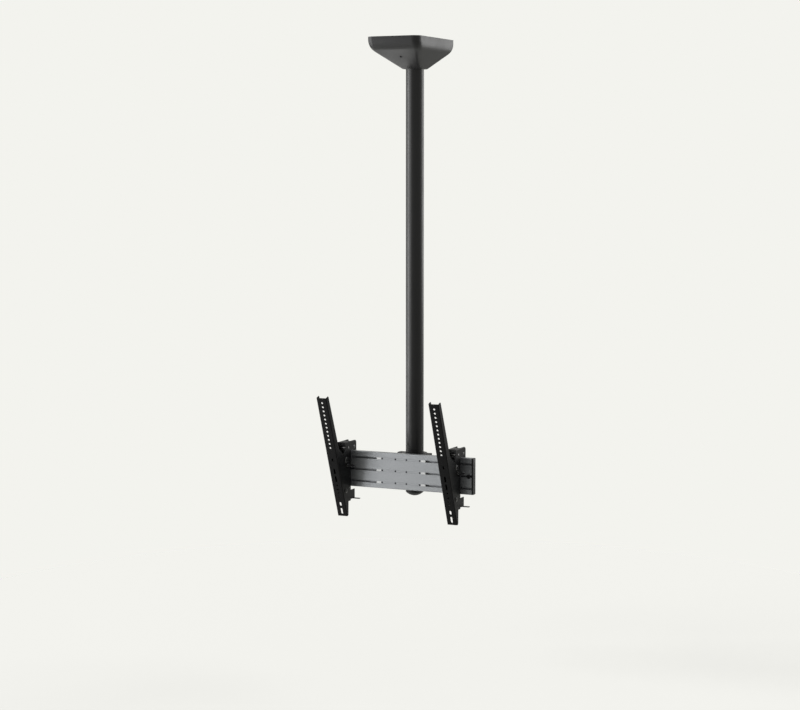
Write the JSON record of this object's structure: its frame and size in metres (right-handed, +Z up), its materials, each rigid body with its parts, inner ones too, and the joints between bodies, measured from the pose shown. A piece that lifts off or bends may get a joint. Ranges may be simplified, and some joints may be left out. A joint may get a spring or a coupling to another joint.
{
  "type": "tv ceiling mount",
  "caption": "Ceiling mount for a flat display: round drop pole with ceiling cover, slotted cross rail, hook-on tilting display arms and lift-up latches.",
  "frame": {"origin": "on the pole's axis in the ceiling plane, at the centre of the ceiling bolts", "axes": "+Z up along the pole, -Y to the display side, +X along the rail"},
  "size_m": [0.506, 0.4167, 1.5818],
  "materials": {
    "black_steel": "satin black powder coat",
    "charcoal_plastic": "fine moulded texture",
    "black_plastic": "matte",
    "anodised_aluminium": "satin anodised",
    "strip_aluminium": "bright mill",
    "zinc_steel": "zinc plated"
  },
  "bodies": {
    "pole_post": {"ceiling_plate": "black_steel", "pole_socket": "black_steel", "socket_bolts": "zinc_steel", "pole": "black_steel", "pole_end_cap": "black_plastic"},
    "cover": {"ceiling_cover": "charcoal_plastic", "cover_screw": "black_steel"},
    "carriage": {"rail_adapter": "black_steel", "clamp_rear": "black_steel", "clamp_bolts": "zinc_steel", "rail": "anodised_aluminium", "rail_screws": "black_steel", "slot_strip_bottom": "strip_aluminium", "slot_strip_middle": "strip_aluminium", "slot_strip_top": "strip_aluminium", "rail_end_cap_left": "black_plastic", "rail_end_cap_right": "black_plastic", "stop_screws": "black_steel", "stop_nuts": "zinc_steel"},
    "left_bracket": {"hook_bracket_left": "black_steel", "pivot_spacer_left": "zinc_steel", "latch_rivets_left": "black_steel", "hook_rivets_left": "zinc_steel", "lock_bolt_left": "black_steel", "lock_nut_left": "zinc_steel"},
    "left_arm": {"display_arm_left": "black_steel", "pivot_bolt_left": "zinc_steel", "pivot_nut_left": "zinc_steel", "pivot_washers_left": "black_plastic", "stop_bolt_left": "black_steel", "stop_nut_left": "zinc_steel", "stop_sleeve_left": "zinc_steel"},
    "left_latch": {"latch_left": "black_steel"},
    "right_bracket": {"hook_bracket_right": "black_steel", "pivot_spacer_right": "zinc_steel", "latch_rivets_right": "black_steel", "hook_rivets_right": "zinc_steel", "lock_bolt_right": "black_steel", "lock_nut_right": "zinc_steel"},
    "right_arm": {"display_arm_right": "black_steel", "pivot_bolt_right": "zinc_steel", "pivot_nut_right": "zinc_steel", "pivot_washers_right": "black_plastic", "stop_bolt_right": "black_steel", "stop_nut_right": "zinc_steel", "stop_sleeve_right": "zinc_steel"},
    "right_latch": {"latch_right": "black_steel"}
  },
  "joints": [
    {"name": "cover_slide", "type": "slide", "parent": "pole_post", "child": "cover", "axis": [0, 0, -1], "range_m": [0, 1.2]},
    {"name": "carriage_swivel", "type": "hinge", "parent": "pole_post", "child": "carriage", "pos_m": [0, 0, -1.424], "axis": [0, 0, 1], "range_deg": [-180, 180]},
    {"name": "left_bracket_slide", "type": "slide", "parent": "carriage", "child": "left_bracket", "axis": [1, 0, 0], "range_m": [-0.008, 0.14]},
    {"name": "left_arm_tilt", "type": "hinge", "parent": "left_bracket", "child": "left_arm", "pos_m": [-0.2, -0.151, -1.391], "axis": [-1, 0, 0], "range_deg": [0, 20.5]},
    {"name": "left_latch_lift", "type": "slide", "parent": "left_bracket", "child": "left_latch", "axis": [0, 0, 1], "range_m": [0, 0.0137]},
    {"name": "right_bracket_slide", "type": "slide", "parent": "carriage", "child": "right_bracket", "axis": [1, 0, 0], "range_m": [-0.14, 0.022]},
    {"name": "right_arm_tilt", "type": "hinge", "parent": "right_bracket", "child": "right_arm", "pos_m": [0.2, -0.151, -1.391], "axis": [-1, 0, 0], "range_deg": [0, 20.5]},
    {"name": "right_latch_lift", "type": "slide", "parent": "right_bracket", "child": "right_latch", "axis": [0, 0, 1], "range_m": [0, 0.0137]}
  ]
}
